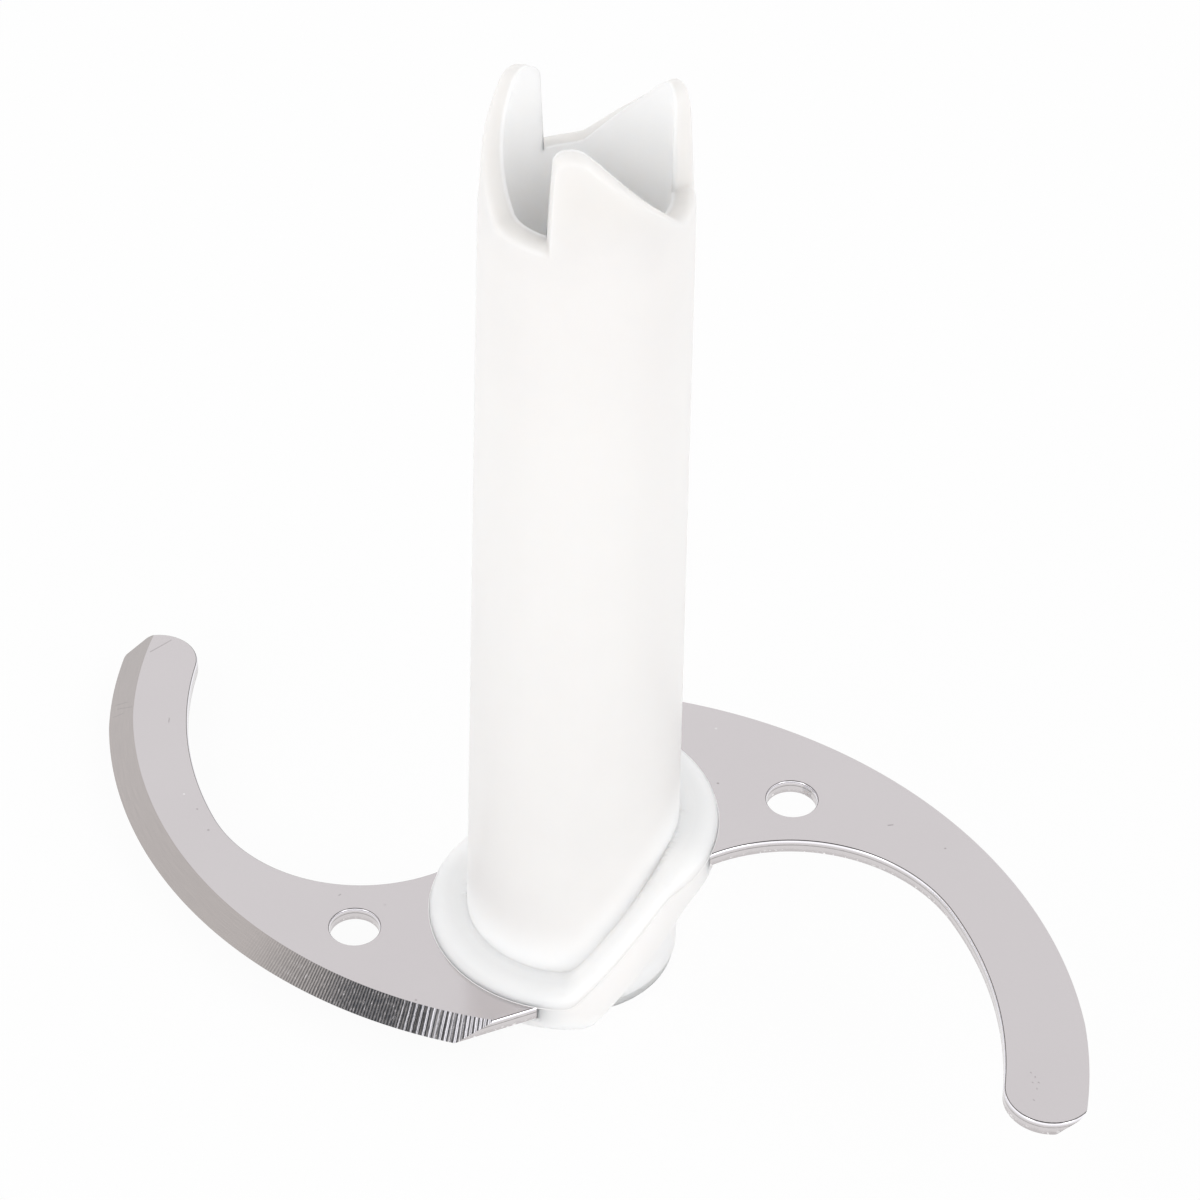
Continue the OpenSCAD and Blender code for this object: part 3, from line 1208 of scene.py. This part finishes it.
def parting_tree(material):
    """Geometry nodes: a ring whose level follows the collar's two flats and two ramps."""
    tree = bpy.data.node_groups.new("parting_line", "GeometryNodeTree")
    face = tree.interface
    face.new_socket("Geometry", in_out="OUTPUT", socket_type="NodeSocketGeometry")
    face.new_socket("Points", in_out="INPUT", socket_type="NodeSocketInt")
    for name in ("Radius", "Line radius", "Level", "Rise"):
        face.new_socket(name, in_out="INPUT", socket_type="NodeSocketFloat")
    graph = Graph(tree)
    given = graph.node("NodeGroupInput")
    count, radius, line_radius, level, rise = [graph.signal(given, i) for i in range(5)]
    ring = graph.node("GeometryNodeCurvePrimitiveCircle", None, {0: count, 4: radius})
    x, y, _ = graph.parts(graph.node("GeometryNodeInputPosition").outputs[0])
    lift = graph.vector(0.0, 0.0, followed_level(x, y, level, rise))
    moved = graph.node(
        "GeometryNodeSetPosition", None, {"Geometry": ring.outputs[0], "Offset": lift}
    )
    section = graph.node("GeometryNodeCurvePrimitiveCircle", None, {0: 8, 4: line_radius})
    swept = graph.node(
        "GeometryNodeCurveToMesh",
        None,
        {"Curve": moved.outputs[0], "Profile Curve": section.outputs[0]},
    )
    real = graph.node("GeometryNodeRealizeInstances", None, {0: swept.outputs[0]})
    dressed = graph.node(
        "GeometryNodeSetMaterial", None, {"Geometry": real.outputs[0], "Material": material}
    )
    graph.node("NodeGroupOutput", None, {0: dressed.outputs[0]})
    return tree


class BLADE_OT_set_stage(Operator):
    """Sets the floor, the studio's light and the camera"""

    bl_idname = "blade.set_stage"
    bl_label = "Stage"

    def execute(self, context):
        settings = context.scene.stage_settings
        half = settings.floor_size / 2
        square = [(-half, -half, 0), (half, -half, 0), (half, half, 0), (-half, half, 0)]
        mesh = bpy.data.meshes.new("floor")
        mesh.from_pydata(square, [], [(0, 1, 2, 3)])
        floor = link_piece("floor", mesh, [pale_floor(settings)])
        floor.location.z = -0.05 * MM
        self.add_sky(context.scene, settings)
        for name, place in SOFTBOXES.items():
            self.add_lamp(context.scene, name, Vector(place), settings.lamp_power)
        self.add_camera(context.scene, settings)
        context.scene.view_settings.view_transform = "Standard"
        return {"FINISHED"}

    @staticmethod
    def add_sky(scene, settings):
        """A pale tent: brightest low down, dark straight above, plain white to the camera."""
        world = bpy.data.worlds.new("studio")
        world.use_nodes = True
        scene.world = world
        graph = Graph(world.node_tree)
        up = graph.parts(graph.node("ShaderNodeTexCoord").outputs["Generated"])[2]
        tent = graph.node("ShaderNodeValToRGB", {"stops": TENT}, {0: up}).outputs[0]
        seen = graph.signal(graph.node("ShaderNodeLightPath"), "Is Camera Ray")
        light = graph.node(
            "ShaderNodeBackground",
            None,
            {"Color": graph.blend(seen, tent, WHITE), "Strength": settings.sky_strength},
        )
        graph.node("ShaderNodeOutputWorld", None, {"Surface": light.outputs[0]})

    @staticmethod
    def add_lamp(scene, name, place, power):
        lamp = bpy.data.lights.new(name, "AREA")
        lamp.shape, lamp.size, lamp.energy = "DISK", SOFTBOX_SIZE, power
        box = bpy.data.objects.new(name, lamp)
        box.location = place
        box.rotation_euler = (LIT_PLACE - place).to_track_quat("-Z", "Y").to_euler()
        scene.collection.objects.link(box)

    @staticmethod
    def add_camera(scene, settings):
        """The photograph's camera: it looks down along +Y, turned a little about its own axis."""
        ahead = Vector((0, math.cos(CAMERA_DOWN), -math.sin(CAMERA_DOWN)))
        above = Vector((0, math.sin(CAMERA_DOWN), math.cos(CAMERA_DOWN)))
        side = Vector((1, 0, 0))
        right = side * math.cos(CAMERA_ROLL) + above * math.sin(CAMERA_ROLL)
        top = above * math.cos(CAMERA_ROLL) - side * math.sin(CAMERA_ROLL)
        data = bpy.data.cameras.new("camera")
        data.sensor_width, data.lens = 36.0, settings.lens
        data.clip_start, data.clip_end = 0.01, 20.0
        camera = bpy.data.objects.new("camera", data)
        turn = Matrix((right, top, -ahead)).transposed().to_4x4()
        camera.matrix_world = Matrix.Translation(CAMERA_PLACE) @ turn
        scene.collection.objects.link(camera)
        scene.camera = camera


class BLADE_PT_sidebar(Panel):
    """Lists the pieces and the stage"""

    bl_idname = "BLADE_PT_sidebar"
    bl_label = "Blade"
    bl_space_type = "VIEW_3D"
    bl_region_type = "UI"
    bl_category = "Blade"

    def draw(self, context):
        for made in OPERATORS:
            self.layout.operator(made.bl_idname)


SETTINGS = {
    "hub_settings": HubSettings,
    "steel_settings": SteelSettings,
    "stage_settings": StageSettings,
}
OPERATORS = (
    BLADE_OT_dress_hub,
    BLADE_OT_dress_blades,
    BLADE_OT_add_parting_line,
    BLADE_OT_set_stage,
)


def register():
    for made in (*SETTINGS.values(), *OPERATORS, BLADE_PT_sidebar):
        bpy.utils.register_class(made)
    for name, made in SETTINGS.items():
        setattr(bpy.types.Scene, name, PointerProperty(type=made))


def unregister():
    for name in SETTINGS:
        delattr(bpy.types.Scene, name)
    for made in reversed((*SETTINGS.values(), *OPERATORS, BLADE_PT_sidebar)):
        bpy.utils.unregister_class(made)


def main():
    register()
    for made in OPERATORS:
        group, name = made.bl_idname.split(".")
        getattr(getattr(bpy.ops, group), name)()


if __name__ == "__main__":
    main()
